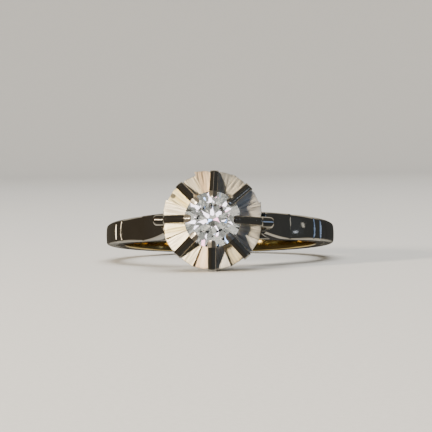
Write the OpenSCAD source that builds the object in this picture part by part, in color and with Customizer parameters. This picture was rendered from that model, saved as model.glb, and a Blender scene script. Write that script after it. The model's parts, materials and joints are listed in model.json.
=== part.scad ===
// Solitaire ring: a yellow gold hoop with a white gold top. A flared head carries eight cut petals round
// a brilliant, which eight ridge claws hold. Millimetres throughout.
// The modules draw the ring upright: x across the shoulders, y along the finger, z from the finger to the
// stone. laid_on_its_side() then lays it down, with the stone facing -y, the head's rim and the back of
// the hoop on the floor and the finger hole nearly upright.

/* [Finger hole] */
// Inside diameter of the hoop
bore_d = 17.3; // [15:0.1:20]

/* [Hoop] */
// Outside diameter across the shoulders
hoop_d = 20.5; // [19.6:0.1:23]
// How far the outer circle sits toward the head, which thins the back
hoop_lift = 0.15; // [0:0.05:0.3]
// Width of the band at the sides and the back
band_w = 1.65; // [1.4:0.05:2.2]
// Width of the band where the shoulders end at the head
shoulder_w = 2.2; // [1.8:0.05:2.6]
// Radius of the gentle crown across the outer face
crown_r = 6; // [4:0.5:12]

/* [White gold top] */
// Thickness of the yellow gold left under the white gold
lining_t = 0.65; // [0.5:0.05:0.8]
// How far below the middle of the hole the white gold ends
joint_drop = 2.4; // [1:0.1:4]
// Distance from the middle at which the outer face of each shoulder ends
shoulder_end = 4.45; // [4:0.05:5]
// Distance from the middle at which the outer face of each arm ends
arm_end_r = 4.35; // [4.2:0.05:4.5]
// Height at which each arm ends
arm_top_z = 12.2; // [12:0.1:12.5]
// Width of an arm at its upper end
arm_end_w = 1.8; // [1.4:0.05:2.2]
// Width of the post that joins an arm to the rim
post_w = 0.9; // [0.6:0.05:1.1]
// Distance from the middle to the outer face of the post, just under the rim
post_r = 5; // [4.8:0.05:5.1]
// How far the bridge under the head lies below the shoulders
bridge_drop = 0.5; // [0.3:0.05:0.6]
// Angle of the lower groove above the widest place of the hoop
groove_angle = 29.4; // [20:0.1:40]
// Angle between the two grooves of a shoulder
groove_step = 6.1; // [4:0.1:8]
// Width of a groove at the surface
groove_w = 0.5; // [0.3:0.05:0.6]
// Depth of a groove
groove_depth = 0.2; // [0.1:0.05:0.3]

/* [Head] */
// Height of the plate's rim above the middle of the finger hole
rim_z = 14.9; // [14:0.1:16]
// Turn of the head on the shank, seen from the stone
head_turn = -2; // [-5:0.5:5]
// Fall of the plate from the stone to the rim, per millimetre outward
petal_fall = 0.24; // [0.1:0.02:0.4]
// Sideways tilt of each facet, per millimetre
facet_tilt = 0.13; // [0.05:0.01:0.2]
// Thickness of the plate at its rim
rim_t = 0.5; // [0.4:0.05:0.7]
// Radius of the opening in the plate under the stone
seat_r = 2.05; // [1.9:0.05:2.1]
// Width of a claw and of the rib below it
claw_w = 0.7; // [0.5:0.05:0.8]
// Height of the claw's ridge above the rim, where it ends
claw_rim_h = 0.45; // [0.3:0.05:0.6]
// Height of the claw's tip above the girdle
claw_tip_h = 0.66; // [0.6:0.02:0.7]
// Radius of the basket just under the rim
basket_r = 3.95; // [3.8:0.05:4]
// Radius of the basket's foot
foot_r = 1; // [0.9:0.02:1.06]
// Wall of the basket
basket_t = 0.42; // [0.35:0.01:0.5]
// Radius of the round end of each opening in the basket
window_r = 0.6; // [0.4:0.05:0.7]

/* [Stone] */
// Diameter of the stone
stone_d = 4.6; // [4.4:0.05:4.7]
// Height of the girdle's upper edge above the rim of the plate
girdle_rise = 1.05; // [0.9:0.05:1.2]
// Table diameter as a share of the stone's
table_share = 0.57; // [0.5:0.01:0.62]
// Angle of the crown
crown_angle = 34.5; // [32:0.5:36]
// Angle of the pavilion
pavilion_angle = 40.8; // [40:0.2:42]
// Thickness of the girdle
girdle_t = 0.1; // [0.06:0.01:0.14]
// Turn of the stone in its claws
stone_turn = 8; // [0:1:22]

/* [Hidden] */
gap = 0.03;          // clearance between neighbouring pieces
weld = 0.2;          // how far joined forms run into each other
over = 1;            // how far a cutting form runs past what it cuts
claws = 8;
pitch = 360 / claws;

bore_r = bore_d / 2;
hoop_r = hoop_d / 2;
lining_r = bore_r + lining_t;
widest = hoop_d + 2 * over;
band_half = band_w / 2;
// height at which the band reaches the width shoulder_w
full_w_z = 8.4;

// Outer radius of the plate in millimetres, one row a petal, clockwise from the top of the head:
// [start of its first facet, end of it, start of its second facet, end of it]
petals = [
    [4.19, 4.10, 4.13, 4.14],
    [4.22, 4.06, 4.19, 4.04],
    [4.09, 4.11, 4.11, 4.17],
    [4.08, 4.05, 4.06, 4.12],
    [4.19, 4.11, 4.13, 4.17],
    [4.27, 4.21, 4.19, 4.15],
    [4.23, 4.27, 4.09, 4.25],
    [4.20, 4.00, 4.31, 4.16],
];

// Plate: the height of its facets at the opening, and of its flat lower edge
facet_span = pitch / 2;
mean_rim_r = 4.15;
plate_z = rim_z + petal_fall * (mean_rim_r - seat_r);
plate_foot_z = rim_z - rim_t;
facet_lap = 0.6;     // degrees by which a facet runs under the next, higher one
corner_r = 3.72;     // where the cut corners of two petals meet in front of a claw
corner_span = 10;    // degrees from the claw at which a petal has its full radius

// Claws: the ridge falls in one line from the stone to the rim
girdle_z = rim_z + girdle_rise;
stone_r = stone_d / 2;
tip_r = 1.78;
tip_z = girdle_z + claw_tip_h;
rib_proud = 0.18;
claw_end_r = basket_r + rib_proud;
claw_nose = 0.16;
ridge_end_z = rim_z + claw_rim_h;
ridge_slope = atan((tip_z - ridge_end_z) / (claw_end_r - claw_nose - tip_r));
roof_angle = 38;

// Basket: a bowl that narrows to its foot
foot_z = 10.55;
foot_bottom_z = lining_r - weld;
bowl_steps = 7;
bowl_share = 0.55;
foot_flange = 0.05;
hollow_from = 0.12;
hollow_to = 0.96;
rib_to = 0.9;
ledge_t = 0.35;      // plate left over the hollow at the opening
window_z = 13.35;
window_tip_z = 11.75;

// Arms and posts: start, two guide points and end of the curve along each edge, [from the middle, height]
arm_steps = 8;
arm_end_t = 0.55;
arm_foot_z = 8;
arm_outer = [[6.2, 8.25], [5.6, 9.5], [5, 10.8], [arm_end_r, arm_top_z]];
arm_inner = [[arm_end_r - arm_end_t, arm_top_z], [4, 11.3], [4.1, 10.2], [4.55, 9]];
post_drop = 0.3;     // how far the outer end of the post lies below the rim
post_joint_r = basket_r - weld / 2;
post_steps = 5;
post_outer = [[post_r, rim_z - 2 * post_drop], [5.05, 13.4], [5, 12.2], [4.75, 11.2]];
post_inner = [[4.35, 11.3], [4.5, 12.8], [4.3, 14], [post_joint_r, plate_foot_z]];

// Stone heights
table_r = stone_r * table_share;
lower_share = 0.23;  // where the lower girdle facets end, as a share of the radius
crown_h = (stone_r - table_r) * tan(crown_angle);
culet_drop = stone_r * tan(pavilion_angle);
star_r = (stone_r + table_r * cos(facet_span)) / 2;
star_h = (stone_r - star_r * cos(facet_span)) * tan(crown_angle);
lower_r = stone_r * lower_share;

// Rest: the floor touches the lowest claw's end and the lower edge of the hoop's back
rim_low = claw_end_r * cos(head_turn) + claw_w / 2 * abs(sin(head_turn));
back_edge_z = hoop_lift - hoop_r + crown_r - sqrt(crown_r * crown_r - band_half * band_half);
rest_tilt = atan((rim_low - band_half) / (bowl_z(1) - back_edge_z));
rest_lift = rim_low * cos(rest_tilt) - bowl_z(1) * sin(rest_tilt);
front_y = -tip_z * cos(rest_tilt) - tip_r * sin(rest_tilt);
rear_y = -back_edge_z * cos(rest_tilt) + band_half * sin(rest_tilt);

// Clockwise from the top of the head, seen from the stone, to an angle round z
function clockwise(a) = 90 - a;
// The bowl's outline: radius and height at a share t of the way from the foot to the rim
function bowl_r(t) =
    foot_r + (basket_r - foot_r) * ((1 - bowl_share) * t + bowl_share * (1 - (1 - t) * (1 - t)));
function bowl_z(t) = foot_z + (plate_foot_z + weld / 2 - foot_z) * t;
function bowl(offset, from, to) = [
    for (i = [0 : bowl_steps])
        let (t = from + (to - from) * i / bowl_steps) [bowl_r(t) + offset, bowl_z(t)]
];
function reversed(list) = [for (i = [len(list) - 1 : -1 : 0]) list[i]];
function on_circle(r, a, z) = [r * cos(a), r * sin(a), z];
// Points along the cubic curve from p[0] to p[3], led by p[1] and p[2]
function curve_at(p, t) =
    p[0] * pow(1 - t, 3) + 3 * p[1] * pow(1 - t, 2) * t + 3 * p[2] * (1 - t) * t * t + p[3] * pow(t, 3);
function curve(p, steps) = [for (i = [0 : steps]) curve_at(p, i / steps)];

module laid_on_its_side()
    translate([0, -(front_y + rear_y) / 2, rest_lift])
        rotate([90 - rest_tilt, 0, 0])
            children();

// The solid disc that the outer face of the band is cut from, crowned across its width
module hoop_blank(drop = 0)
    translate([0, 0, hoop_lift])
        rotate([90, 0, 0])
            rotate_extrude($fn = 180)
                intersection() {
                    translate([hoop_r - drop - crown_r, 0])
                        circle(r = crown_r, $fn = 90);
                    translate([0, -shoulder_w])
                        square([hoop_r, 2 * shoulder_w]);
                }

// Both side faces of the band: parallel below the middle, spreading toward the head
module band_sides()
    rotate([90, 0, 90])
        linear_extrude(height = widest, center = true)
            polygon([
                [-band_half, -widest / 2],
                [band_half, -widest / 2],
                [band_half, 0],
                [shoulder_w / 2, full_w_z],
                [shoulder_w / 2, widest / 2],
                [-shoulder_w / 2, widest / 2],
                [-shoulder_w / 2, full_w_z],
                [-band_half, 0],
            ]);

// Cylinder along the finger, for the hole and the seam between the two golds
module along_finger(r)
    rotate([90, 0, 0])
        cylinder(h = 2 * shoulder_w, r = r, center = true, $fn = 180);

module below(z)
    translate([-widest / 2, -widest / 2, z - widest])
        cube([widest, widest, widest]);

module shank()
    color("goldenrod")
        laid_on_its_side()
            difference() {
                intersection() {
                    hoop_blank();
                    band_sides();
                    union() {
                        along_finger(lining_r);
                        below(-joint_drop - gap);
                    }
                }
                along_finger(bore_r);
            }

module groove(angle)
    translate([0, 0, hoop_lift])
        rotate([0, -angle, 0])
            translate([hoop_r - groove_depth, 0, 0])
                rotate([90, 0, 0])
                    linear_extrude(height = 2 * shoulder_w, center = true)
                        polygon([
                            [0, 0],
                            [2 * groove_depth, groove_w],
                            [2 * groove_depth, -groove_w],
                        ]);

// Shoulders and bridge: the white gold outside the lining, lower between the shoulders' ends
module shoulders()
    difference() {
        intersection() {
            hoop_blank();
            band_sides();
        }
        along_finger(lining_r + gap);
        below(-joint_drop);
        difference() {
            translate([-shoulder_end, -shoulder_w, 0])
                cube([2 * shoulder_end, 2 * shoulder_w, widest]);
            hoop_blank(bridge_drop);
        }
        for (side = [0, 180], i = [0, 1])
            rotate([0, 0, side])
                groove(groove_angle + i * groove_step);
    }

// Profile across the shoulders, drawn as deep as width along the finger
module upright_slice(width, outline)
    rotate([90, 0, 0])
        linear_extrude(height = width, center = true)
            polygon(outline);

// The shoulder's sweep up to the head: it keeps the shoulder's width and narrows a little to its end
module arm()
    intersection() {
        upright_slice(shoulder_w, concat(curve(arm_outer, arm_steps), curve(arm_inner, arm_steps)));
        rotate([90, 0, 90])
            linear_extrude(height = widest)
                polygon([
                    [-shoulder_w / 2, arm_foot_z],
                    [shoulder_w / 2, arm_foot_z],
                    [shoulder_w / 2, full_w_z],
                    [arm_end_w / 2, arm_top_z],
                    [-arm_end_w / 2, arm_top_z],
                    [-shoulder_w / 2, full_w_z],
                ]);
    }

// Narrow post from the upper end of the arm to the rim
module post()
    upright_slice(post_w, concat(
        [[post_joint_r, rim_z - weld / 2], [post_r - weld, rim_z - post_drop]],
        curve(post_outer, post_steps),
        curve(post_inner, post_steps)
    ));

// One facet of the plate: a wedge with a flat top that falls outward and toward its clockwise end. Its
// corner beside a claw, at its start or at its end, is cut back.
module facet(start_r, end_r, corner_first) {
    half = facet_span / 2;
    fall = atan(petal_fall);
    inner_r = seat_r - weld;
    inside = half - corner_span;
    first_corner = [corner_r * [cos(half), sin(half)], start_r * [cos(inside), sin(inside)]];
    last_corner = [end_r * [cos(inside), -sin(inside)], corner_r * [cos(half), -sin(half)]];
    last_r = corner_first ? end_r : corner_r;
    difference() {
        translate([0, 0, plate_foot_z])
            linear_extrude(height = plate_z - plate_foot_z + over)
                polygon(concat(
                    [inner_r * [cos(half), sin(half)]],
                    corner_first ? first_corner : [start_r * [cos(half), sin(half)]],
                    corner_first ? [end_r * [cos(half), -sin(half)]] : last_corner,
                    [
                        last_r * [cos(half + facet_lap), -sin(half + facet_lap)],
                        inner_r * [cos(half + facet_lap), -sin(half + facet_lap)],
                    ]
                ));
        translate([seat_r, 0, plate_z])
            rotate([atan(facet_tilt * cos(fall)), fall, 0])
                translate([-widest / 2, -widest / 2, 0])
                    cube([widest, widest, widest]);
    }
}

module plate()
    difference() {
        for (i = [0 : claws - 1], k = [0, 1])
            rotate([0, 0, clockwise(pitch * i + facet_span * (k + 0.5))])
                facet(petals[i][2 * k], petals[i][2 * k + 1], k == 0);
        cylinder(h = widest, r = seat_r, $fn = 72);
        underside();
        for (i = [0 : claws - 1])
            rotate([0, 0, pitch * i])
                translate([basket_r - weld, -claw_w / 2 + gap, plate_foot_z - over])
                    cube([over, claw_w - 2 * gap, 3 * over]);
    }

// Hollow of the bowl, up to the plate's thin underside
module underside()
    rotate_extrude($fn = 96)
        polygon(concat(
            [[0, bowl_z(hollow_from)]],
            bowl(-basket_t, hollow_from, hollow_to),
            [[seat_r, plate_foot_z + ledge_t], [0, plate_foot_z + ledge_t]]
        ));

// Drop-shaped opening, its straight flanks running into the round end
module window() {
    flank = asin(window_r / (window_z - window_tip_z));
    rotate([90, 0, 90])
        linear_extrude(height = basket_r + over)
            union() {
                translate([0, window_z])
                    circle(r = window_r, $fn = 40);
                polygon([
                    [0, window_tip_z],
                    [window_r * cos(flank), window_z - window_r * sin(flank)],
                    [-window_r * cos(flank), window_z - window_r * sin(flank)],
                ]);
            }
}

module basket()
    difference() {
        union() {
            rotate_extrude($fn = 96)
                polygon(concat([[0, foot_z]], bowl(0, 0, 1), [[0, bowl_z(1)]]));
            translate([0, 0, foot_bottom_z])
                cylinder(h = foot_z + weld - foot_bottom_z, r = foot_r + foot_flange, $fn = 60);
        }
        underside();
        for (i = [0 : claws - 1])
            rotate([0, 0, pitch * (i + 0.5)])
                window();
    }

// Claw and the rib below it: a fin from the stone to the rim and down the basket, with a ridge on top
module claw()
    difference() {
        rotate([90, 0, 0])
            linear_extrude(height = claw_w, center = true)
                polygon(concat(
                    [
                        [tip_r, girdle_z + weld],
                        [tip_r, tip_z],
                        [claw_end_r - claw_nose, ridge_end_z],
                        [claw_end_r, ridge_end_z - claw_nose],
                    ],
                    reversed(bowl(rib_proud, 0, 1)),
                    bowl(-basket_t / 2, 0, rib_to),
                    [
                        [seat_r + weld, plate_foot_z + ledge_t + weld],
                        [seat_r - weld / 2, plate_foot_z + ledge_t + weld],
                        [seat_r - weld / 2, girdle_z - weld],
                    ]
                ));
        for (side = [-1, 1])
            translate([tip_r, 0, tip_z])
                rotate([0, ridge_slope, 0])
                    rotate([side * roof_angle, 0, 0])
                        translate([-over, -widest / 2, 0])
                            cube([widest, widest, widest]);
    }

// Room for the stone: its outline turned round, a hair larger
module stone_room()
    rotate_extrude($fn = 96)
        polygon([
            [0, girdle_z - girdle_t - culet_drop - gap],
            [stone_r + gap, girdle_z - girdle_t - gap / 2],
            [stone_r + gap, girdle_z + gap / 2],
            [star_r + gap, girdle_z + star_h + gap],
            [table_r + gap, girdle_z + crown_h + gap],
            [0, girdle_z + crown_h + gap],
        ]);

module head()
    rotate([0, 0, head_turn])
        difference() {
            union() {
                plate();
                basket();
                for (i = [0 : claws - 1])
                    rotate([0, 0, pitch * i])
                        claw();
            }
            stone_room();
        }

module setting()
    color("gainsboro")
        laid_on_its_side()
            union() {
                shoulders();
                for (side = [0, 180]) {
                    rotate([0, 0, side])
                        arm();
                    rotate([0, 0, side + head_turn])
                        post();
                }
                difference() {
                    head();
                    along_finger(lining_r + gap);
                }
            }

// Round brilliant. Rows of points: table corners, star points, girdle top, girdle bottom, lower points, culet
module brilliant() {
    n = claws;
    s = facet_span;
    top = girdle_z;
    bottom = girdle_z - girdle_t;
    points = concat(
        [for (i = [0 : n - 1]) on_circle(table_r, pitch * i, top + crown_h)],
        [for (i = [0 : n - 1]) on_circle(star_r, pitch * i + s, top + star_h)],
        [for (i = [0 : 2 * n - 1]) on_circle(stone_r, s * i, top)],
        [for (i = [0 : 2 * n - 1]) on_circle(stone_r, s * i, bottom)],
        [for (i = [0 : n - 1])
            on_circle(lower_r, pitch * i + s, bottom - (stone_r - lower_r * cos(s)) * tan(pavilion_angle))],
        [[0, 0, bottom - culet_drop]]
    );
    function table_at(i) = i % n;
    function star_at(i) = n + (i + n) % n;
    function top_at(i) = 2 * n + i % (2 * n);
    function bottom_at(i) = 4 * n + i % (2 * n);
    function lower_at(i) = 6 * n + (i + n) % n;
    culet = 7 * n;
    polyhedron(points, concat(
        [[for (i = [n - 1 : -1 : 0]) table_at(i)]],
        [for (i = [0 : n - 1]) [table_at(i), table_at(i + 1), star_at(i)]],
        [for (i = [0 : n - 1]) [table_at(i), star_at(i), top_at(2 * i), star_at(i - 1)]],
        [for (i = [0 : n - 1]) [star_at(i), top_at(2 * i + 1), top_at(2 * i)]],
        [for (i = [0 : n - 1]) [star_at(i), top_at(2 * i + 2), top_at(2 * i + 1)]],
        [for (i = [0 : 2 * n - 1]) [top_at(i), top_at(i + 1), bottom_at(i + 1), bottom_at(i)]],
        [for (i = [0 : n - 1]) [bottom_at(2 * i), bottom_at(2 * i + 1), lower_at(i)]],
        [for (i = [0 : n - 1]) [bottom_at(2 * i + 1), bottom_at(2 * i + 2), lower_at(i)]],
        [for (i = [0 : n - 1]) [bottom_at(2 * i), lower_at(i), culet, lower_at(i - 1)]]
    ));
}

module stone()
    color("lightcyan")
        laid_on_its_side()
            rotate([0, 0, head_turn + stone_turn])
                brilliant();

shank();
setting();
stone();
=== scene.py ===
import json
import math
import random

import bmesh
import bpy
from mathutils import Matrix, Vector


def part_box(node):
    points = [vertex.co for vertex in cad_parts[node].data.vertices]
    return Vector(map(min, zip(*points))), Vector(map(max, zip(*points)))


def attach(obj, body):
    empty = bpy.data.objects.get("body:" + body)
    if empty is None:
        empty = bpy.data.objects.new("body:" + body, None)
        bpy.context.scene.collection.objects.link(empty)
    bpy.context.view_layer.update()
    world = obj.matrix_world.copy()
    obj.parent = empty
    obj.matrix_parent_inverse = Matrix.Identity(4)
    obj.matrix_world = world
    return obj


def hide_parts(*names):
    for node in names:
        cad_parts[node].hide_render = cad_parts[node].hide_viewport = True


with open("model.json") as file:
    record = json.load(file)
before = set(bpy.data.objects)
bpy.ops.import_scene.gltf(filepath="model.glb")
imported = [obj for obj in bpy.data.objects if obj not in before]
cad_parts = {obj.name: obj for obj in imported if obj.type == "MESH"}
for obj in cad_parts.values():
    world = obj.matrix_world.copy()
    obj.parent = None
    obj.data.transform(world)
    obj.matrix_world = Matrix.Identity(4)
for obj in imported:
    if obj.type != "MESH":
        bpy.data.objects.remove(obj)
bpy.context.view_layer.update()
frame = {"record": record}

# The ring lies on its side. Its own axes, in millimetres from the middle of the finger hole, are x across
# the shoulders, y along the finger and z from the finger to the stone. RING takes them to the frame's metres.
MM = 0.001
hole = next(mount for mount in frame["record"]["mounts"] if mount["name"] == "finger_bore")
HOLE_MIDDLE = Vector(hole["pos_m"])
ALONG_FINGER = Vector(hole["axis"]).normalized()
ACROSS = Vector((1, 0, 0))
TO_STONE = ACROSS.cross(ALONG_FINGER)
AXES = Matrix((ACROSS, ALONG_FINGER, TO_STONE)).transposed()
RING = Matrix.Translation(HOLE_MIDDLE) @ AXES.to_4x4() @ Matrix.Scale(MM, 4)

# Hoop. HALF is half a width, R a radius, T a thickness and Z a height over the hole's middle.
BORE_R = hole["dims"]["r_mm"]
HOOP_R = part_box("setting")[1].x / MM
HOOP_LIFT = 0.15  # from the hole's middle to the outer circle's, toward the head
BAND_HALF = 0.825  # at the sides and the back
SHOULDER_HALF = 1.1  # from FULL_WIDTH_Z up
FULL_WIDTH_Z = 8.4
CROWN_R = 6  # of the outer face, across the band
LIP_ROUND = 0.12  # of the finger hole's lips
EDGE_ROUND = 0.2  # of the outer edges
SEAM_ROUND = 0.03  # of the edges where one gold meets the other
LINING_T = 0.65
LINING_R = BORE_R + LINING_T
SEAM = 0.03  # the gap between the two golds, and between gold and stone
JOINT_DROP = 2.4  # from the hole's middle down to where the white gold ends
SHOULDER_END = 4.45  # from the ring's middle to where the shoulders' outer faces end
BRIDGE_DROP = 0.5  # how far the bridge between the shoulders lies below the hoop's outer circle
# The rounded step from the bridge up to a shoulder: distance past SHOULDER_END, and drop
SHOULDER_STEP = ((0.01, 0.12), (0.04, 0.05), (0.1, 0.01), (0.2, 0))
GROOVE_ANGLES = (29.4, 35.5)  # in degrees up from the hoop's widest place
# A groove: distance from its middle along the hoop, and depth. Each side has a rounded brink and a flat
# flank, and the floor between them is narrow.
GROOVE_PROFILE = [(-0.2, 0), (-0.16, 0), (-0.142, 0.008), (-0.13, 0.018), (-0.11, 0.034), (-0.09, 0.05),
                  (-0.07, 0.067), (-0.03, 0.1)]
GROOVE_PROFILE += [(-place, depth) for place, depth in reversed(GROOVE_PROFILE)]

# Head
CLAWS = 8
PITCH = math.tau / CLAWS
FACET_SPAN = PITCH / 2
HEAD_TURN = math.radians(-2)
RIM_Z = 14.9
RIM_T = 0.5
MEAN_RIM_R = 4.15
SEAT_R = 2.05
PETAL_FALL = 0.24  # of a petal, for each millimetre outward
FACET_TILT = 0.13  # of a facet, for each millimetre toward its clockwise end
PLATE_Z = RIM_Z + PETAL_FALL * (MEAN_RIM_R - SEAT_R)  # beside the stone
PLATE_FOOT_Z = RIM_Z - RIM_T
LEDGE_T = 0.35  # of the plate, beside the stone
RIPPLE = 0.008  # the most that a facet's surface rises or falls, 2 mm out from the seat
# A petal's corner is rounded off beside the claw: over this angle, by this much at the claw's middle, and
# along a curve of this power
CORNER_SPAN = math.radians(10)
CORNER_CUT = 0.42
CORNER_CURVE = 1.6
BASKET_R = 3.95  # at its top
BASKET_T = 0.42
BASKET_TOP_Z = PLATE_FOOT_Z + 0.1
BOWL_SHARE = 0.55  # of a round bowl in the basket's shape; the rest is a cone
FOOT_R = 1
FOOT_Z = 10.55
RIB_PROUD = 0.18  # how far the ribs stand out of the basket
RIB_FOOT_HALF = 0.24
WINDOW_R = 0.6
WINDOW_Z = 13.35
WINDOW_TIP_Z = 11.75

# Arms: the shoulders' sweep up to the head. Guide points of each edge, (from the middle, height), upward.
ARM_TOP_Z = 12.2
ARM_END_HALF = 0.9
ARM_OUTER = [(6.5, 8.07), (5.85, 8.6), (5.1, 10.5), (4.35, ARM_TOP_Z)]
ARM_INNER = [(4.55, 9), (4.1, 10.2), (4, 11.3), (3.8, ARM_TOP_Z)]
ARM_DOME = 0.08
# Posts: the outer edge from the arm up, then round the corner and along the sloping top to the rim
POST_HALF = 0.45
POST_OUTER = [(4.72, 11), (4.86, 11.7), (4.95, 12.5), (4.98, 13.2), (4.99, 13.9), (5.03, 14.25),
              (5.02, 14.37), (4.97, 14.45), (4.89, 14.49), (4.4, 14.67), (3.85, 14.86)]
POST_INNER = [(4.3, 11.2), (4.5, 12.8), (4.3, 14), (3.85, 14.4)]
POST_CROWN = 1.5

# Petals, clockwise from the top of the head. A petal has two facets, each with its outer radius at its start
# and at its end, and its colour: the cut metal's tone, with painted light and painted shade in it.
PETALS = [
    ((4.19, 4.10, "grey"), (4.13, 4.14, "milk")),
    ((4.22, 4.06, "white"), (4.19, 4.04, "white")),
    ((4.09, 4.11, "milk"), (4.11, 4.17, "white")),
    ((4.08, 4.05, "ivory"), (4.06, 4.12, "white")),
    ((4.19, 4.11, "peach"), (4.13, 4.17, "pearl")),
    ((4.27, 4.21, "pearl"), (4.19, 4.15, "straw")),
    ((4.23, 4.27, "pearl"), (4.09, 4.25, "cream")),
    ((4.20, 4.00, "pearl"), (4.31, 4.16, "peach")),
]
# facet colours, partly the metal's own tones and partly painted light and shade: the pale ones are painted
# light on the right-hand facets that face away from the key, the pearl and straw ones are painted shade on
# the left-hand facets that face it, and the grey one is painted shadow of the top claw on the first facet
TONES_WITH_PAINTED_LIGHT = {"white": "faf7ee", "milk": "f6f0de", "pearl": "d0c9b3", "grey": "b4b5b0", "ivory": "f1e6c4",
          "cream": "e6d8a2", "peach": "e9cfac", "straw": "d0c498"}

# Stone: a round brilliant of the usual proportions
STONE_R = 2.3
STONE_TURN = math.radians(8)
GIRDLE_Z = RIM_Z + 1.05
GIRDLE_T = 0.1
TABLE_R = STONE_R * 0.57
CROWN_SLOPE = math.tan(math.radians(34.5))
PAVILION_SLOPE = math.tan(math.radians(40.8))
CROWN_H = (STONE_R - TABLE_R) * CROWN_SLOPE
# where the star facets meet the upper girdle facets, and where the lower girdle facets end
STAR_R = (STONE_R + TABLE_R * math.cos(FACET_SPAN)) / 2
STAR_H = (STONE_R - STAR_R * math.cos(FACET_SPAN)) * CROWN_SLOPE
LOWER_R = STONE_R * 0.23

# Claws: the ridge falls in one line from the stone to the rim, and a nose rounds over into the rib
CLAW_HALF = 0.35
CLAW_CREST = 0.03
CLAW_NOSE = 0.16
ROOF_SLOPE = math.tan(math.radians(38))
TIP_R = 1.78
TIP_Z = GIRDLE_Z + 0.66
RIDGE_END_R = BASKET_R + RIB_PROUD - CLAW_NOSE
RIDGE_END_Z = RIM_Z + 0.45
RIDGE_SLOPE = (TIP_Z - RIDGE_END_Z) / (RIDGE_END_R - TIP_R)
# A tip's start: distance past TIP_R, half its width, and how far it lies below the ridge's line
TIP_NOSE = ((-0.04, 0.16, 0.16), (0, 0.24, 0.06), (0.08, 0.3, 0.015), (0.2, 0.335, 0))
# Wear of each tip, clockwise from the top: two of them are still nearly bright
TIP_WEAR = (0.7, 0.3, 0.3, 0.8, 1, 1, 0.8, 1)

# Softboxes: name, azimuth and elevation in degrees, distance from the ring, width and height in metres,
# power in watts, colour, and what they shine on
SOFTBOXES = [
    # the cool light in the shade of the stone
    ("fill", 43, 12, 0.34, 0.11, 0.12, 0.032, "a2c2ff", "metal stone"),
    # what the right shoulder and its grooves mirror
    ("sky", 83, 8, 0.34, 0.12, 0.14, 0.0009, "b8cdf0", "metal"),
    ("right_glint", 62, 6, 0.34, 0.03, 0.06, 0.03, "bcd4ff", "metal"),
    ("low_glint", 82, -0.5, 0.34, 0.03, 0.01, 0.0016, "d4e2ff", "metal"),
    ("small_glint", 93.5, 7, 0.34, 0.018, 0.03, 0.0016, "f2f2f0", "metal"),
    # what the petals and the upper edges mirror
    ("top_card", 0, 67, 0.5, 0.25, 0.25, 0.1, "fff8ee", "metal"),
    # the light on the sheet under the ring
    ("sheet_light", 0, 90, 0.6, 0.6, 0.6, 8, "ffffff", "card"),
    # the stone's sparkle, white in front, rose on the left and blue on the right
    ("stone_front", -6, 14, 0.3, 0.13, 0.08, 0.22, "ffeaf8", "stone"),
    ("stone_left", -50, 20, 0.3, 0.12, 0.2, 0.6, "ffa6cc", "stone"),
    ("stone_right", 50, 15, 0.3, 0.12, 0.2, 0.6, "96c0ff", "stone"),
]


# Mesh building. A shape is a pair: its points, and its faces as tuples of the points' numbers.

def mix(a, b, share):
    """What is at a share of the way from a to b."""
    return a + (b - a) * share


def round_point(r, angle, z):
    """The point at a radius and an angle round the z axis."""
    return (r * math.cos(angle), r * math.sin(angle), z)


def corner_arcs(corners, steps):
    """For each corner (x, y, radius) of a polygon that runs counter-clockwise, the points of its round."""
    arcs = []
    for i, (x, y, radius) in enumerate(corners):
        here = Vector((x, y))
        before = (Vector(corners[i - 1][:2]) - here).normalized()
        after = (Vector(corners[(i + 1) % len(corners)][:2]) - here).normalized()
        half = before.angle(after) / 2
        centre = here + (before + after).normalized() * radius / math.sin(half)
        start = here + before * radius / math.tan(half) - centre
        sweep = (math.pi - 2 * half) * (1 if before.cross(after) < 0 else -1)
        turns = [Matrix.Rotation(sweep * k / steps, 2) for k in range(steps + 1)]
        arcs.append([tuple(centre + turn @ start) for turn in turns])
    return arcs


def loft(rings, loop=False):
    """Skin over rings of equally many points: closed into a loop, or with a face over each end."""
    size = len(rings[0])
    points = [point for ring in rings for point in ring]
    faces = []
    for i in range(len(rings) if loop else len(rings) - 1):
        here = i * size
        there = (i + 1) % len(rings) * size
        for j in range(size):
            k = (j + 1) % size
            faces.append((here + j, here + k, there + k, there + j))
    if not loop:
        last = (len(rings) - 1) * size
        faces.append(tuple(range(size)))
        faces.append(tuple(last + j for j in range(size)))
    return points, faces


def joined(shapes):
    """Several shapes as one."""
    all_points, all_faces = [], []
    for points, faces in shapes:
        all_faces += [tuple(len(all_points) + i for i in face) for face in faces]
        all_points += points
    return all_points, all_faces


def turned(shape, angle):
    """A shape turned round the head's axis."""
    points, faces = shape
    spin = Matrix.Rotation(angle, 3, "Z")
    return [spin @ Vector(point) for point in points], faces


def add_piece(name, shape, material, node, crease=32):
    """Makes a piece from a shape in the ring's own axes. It stands for the node of the frame that it is part
    of, and its edges look sharp where its faces meet at more than crease degrees."""
    points, faces = shape
    mesh = bpy.data.meshes.new(name)
    mesh.from_pydata([RING @ Vector(point) for point in points], [], faces)
    skin = bmesh.new()
    skin.from_mesh(mesh)
    bmesh.ops.recalc_face_normals(skin, faces=skin.faces)
    skin.to_mesh(mesh)
    skin.free()
    mesh.shade_smooth()
    mesh.set_sharp_from_angle(angle=math.radians(crease))
    mesh.materials.append(material)
    piece = bpy.data.objects.new(name, mesh)
    bpy.context.scene.collection.objects.link(piece)
    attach(piece, "root")
    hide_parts(node)
    return piece


def mark(piece, name, values, kind="FLOAT"):
    """Gives each point of a piece a value that its material reads."""
    field = {"FLOAT": "value", "FLOAT_VECTOR": "vector", "FLOAT_COLOR": "color"}[kind]
    data = piece.data.attributes.new(name, kind, "POINT").data
    for point, value in zip(data, values):
        setattr(point, field, value)


# Materials. Their patterns are scaled in metres: so many to a millimetre is that number divided by MM.

# The sockets of a colour mix, which Blender knows apart only by number: share, first colour, second, result
SHARE, FIRST, SECOND, MIXED = 0, 6, 7, 2


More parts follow.
